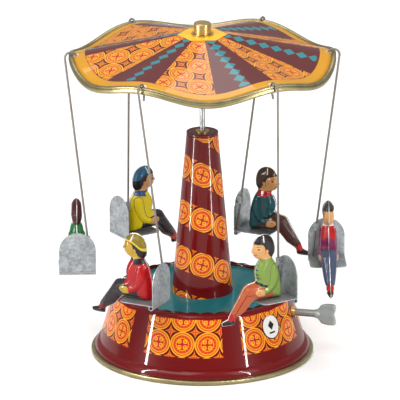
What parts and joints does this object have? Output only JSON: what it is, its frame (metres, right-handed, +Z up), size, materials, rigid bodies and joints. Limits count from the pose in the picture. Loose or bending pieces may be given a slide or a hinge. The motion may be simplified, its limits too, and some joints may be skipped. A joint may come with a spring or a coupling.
{
  "type": "wind-up tin toy",
  "caption": "Clockwork tin swing carousel: a round base with a key and cone column turns a wavy canopy from which seated riders hang on wires.",
  "frame": {"origin": "middle of the foot of the base, on the surface it stands on", "axes": "+Z up along the spindle, +X along the winding key's arbor"},
  "size_m": [0.2322, 0.2358, 0.28],
  "materials": {
    "printed_red": "lacquered tinplate, printed roundels on dark red",
    "printed_canopy": "lacquered tinplate, printed sectors of red, teal and yellow",
    "tray_teal": "glossy teal lacquer",
    "rim_brass": "worn brass-coloured rolled edge",
    "brass": "bright brass",
    "steel": "plain steel",
    "wire_steel": "bright drawn wire",
    "galvanised": "galvanised sheet",
    "key_cast": "matte grey casting",
    "inner_tin": "bare tinplate",
    "rider_paint_1": "lacquered tinplate, printed clothes",
    "rider_paint_2": "lacquered tinplate, printed clothes",
    "rider_paint_3": "lacquered tinplate, printed clothes",
    "rider_paint_4": "lacquered tinplate, printed clothes",
    "rider_paint_5": "lacquered tinplate, printed clothes",
    "rider_paint_6": "lacquered tinplate, printed clothes"
  },
  "bodies": {
    "base": {"base_shell": "printed_red", "base_rim": "rim_brass", "base_tray": "tray_teal", "bottom_plate": "inner_tin", "column_shell": "printed_red", "column_cap": "printed_red", "top_bearing": "brass", "footstep_bearing": "brass", "key_bush": "brass", "inner_plate": "inner_tin", "outer_plate": "inner_tin", "plate_pillars": "steel", "plate_screws": "steel", "mainspring": "steel"},
    "carousel": {"spindle": "steel", "spindle_pinion": "brass", "canopy": "printed_canopy", "canopy_rim": "rim_brass", "canopy_collar": "brass", "canopy_hub": "brass", "top_cap": "brass"},
    "swing_1": {"swing_wire_1": "wire_steel", "seat_1": "galvanised", "rider_1": "rider_paint_1"},
    "swing_2": {"swing_wire_2": "wire_steel", "seat_2": "galvanised", "rider_2": "rider_paint_2"},
    "swing_3": {"swing_wire_3": "wire_steel", "seat_3": "galvanised", "rider_3": "rider_paint_3"},
    "swing_4": {"swing_wire_4": "wire_steel", "seat_4": "galvanised", "rider_4": "rider_paint_4"},
    "swing_5": {"swing_wire_5": "wire_steel", "seat_5": "galvanised", "rider_5": "rider_paint_5"},
    "swing_6": {"swing_wire_6": "wire_steel", "seat_6": "galvanised", "rider_6": "rider_paint_6"},
    "drive_wheel": {"great_wheel": "brass", "click_pin": "steel", "click_spring": "steel"},
    "click_lever": {"click": "steel"},
    "winder": {"winding_arbor": "steel", "ratchet_wheel": "steel", "key": "key_cast"},
    "second_shaft": {"second_arbor": "steel", "second_pinion": "brass", "contrate_wheel": "brass", "governor_wheel": "brass"},
    "fly": {"fly_arbor": "steel", "fly_pinion": "brass", "fly_vanes": "inner_tin"}
  },
  "joints": [
    {"name": "carousel_spin", "type": "hinge", "parent": "base", "child": "carousel", "pos_m": [0, 0, 0.15], "axis": [0, 0, 1], "continuous": true},
    {"name": "swing_1_sway", "type": "hinge", "parent": "carousel", "child": "swing_1", "pos_m": [0.10232, 0.02992, 0.2513], "axis": [0.2807, -0.9598, 0], "range_deg": [-8, 55]},
    {"name": "swing_2_sway", "type": "hinge", "parent": "carousel", "child": "swing_2", "pos_m": [0.02525, 0.10357, 0.2513], "axis": [0.9715, -0.2368, 0], "range_deg": [-8, 55]},
    {"name": "swing_3_sway", "type": "hinge", "parent": "carousel", "child": "swing_3", "pos_m": [-0.07707, 0.07365, 0.2513], "axis": [0.6909, 0.723, 0], "range_deg": [-8, 55]},
    {"name": "swing_4_sway", "type": "hinge", "parent": "carousel", "child": "swing_4", "pos_m": [-0.10232, -0.02992, 0.2513], "axis": [-0.2807, 0.9598, 0], "range_deg": [-8, 55]},
    {"name": "swing_5_sway", "type": "hinge", "parent": "carousel", "child": "swing_5", "pos_m": [-0.02525, -0.10357, 0.2513], "axis": [-0.9715, 0.2368, 0], "range_deg": [-8, 55]},
    {"name": "swing_6_sway", "type": "hinge", "parent": "carousel", "child": "swing_6", "pos_m": [0.07707, -0.07365, 0.2513], "axis": [-0.6909, -0.723, 0], "range_deg": [-8, 55]},
    {"name": "drive_wheel_spin", "type": "hinge", "parent": "base", "child": "drive_wheel", "pos_m": [0.0106, 0, 0.0388], "axis": [1, 0, 0], "continuous": true},
    {"name": "key_wind", "type": "hinge", "parent": "drive_wheel", "child": "winder", "pos_m": [0.0121, 0, 0.0388], "axis": [1, 0, 0], "range_deg": [0, 1800]},
    {"name": "click_lift", "type": "hinge", "parent": "drive_wheel", "child": "click_lever", "pos_m": [0.0121, 0.0043, 0.04625], "axis": [1, 0, 0], "range_deg": [0, 12], "stiffness_Nm_per_rad": 0.0002, "springref_deg": -5.73},
    {"name": "second_shaft_spin", "type": "hinge", "parent": "base", "child": "second_shaft", "pos_m": [0.02, 0, 0.0241], "axis": [1, 0, 0], "continuous": true},
    {"name": "fly_spin", "type": "hinge", "parent": "base", "child": "fly", "pos_m": [0.02, 0.01081, 0.02017], "axis": [1, 0, 0], "continuous": true}
  ],
  "couplings": [
    {"joint": "drive_wheel_spin", "follows": "carousel_spin", "ratio": 0.11719},
    {"joint": "second_shaft_spin", "follows": "carousel_spin", "ratio": -0.375},
    {"joint": "fly_spin", "follows": "carousel_spin", "ratio": 1.35}
  ]
}
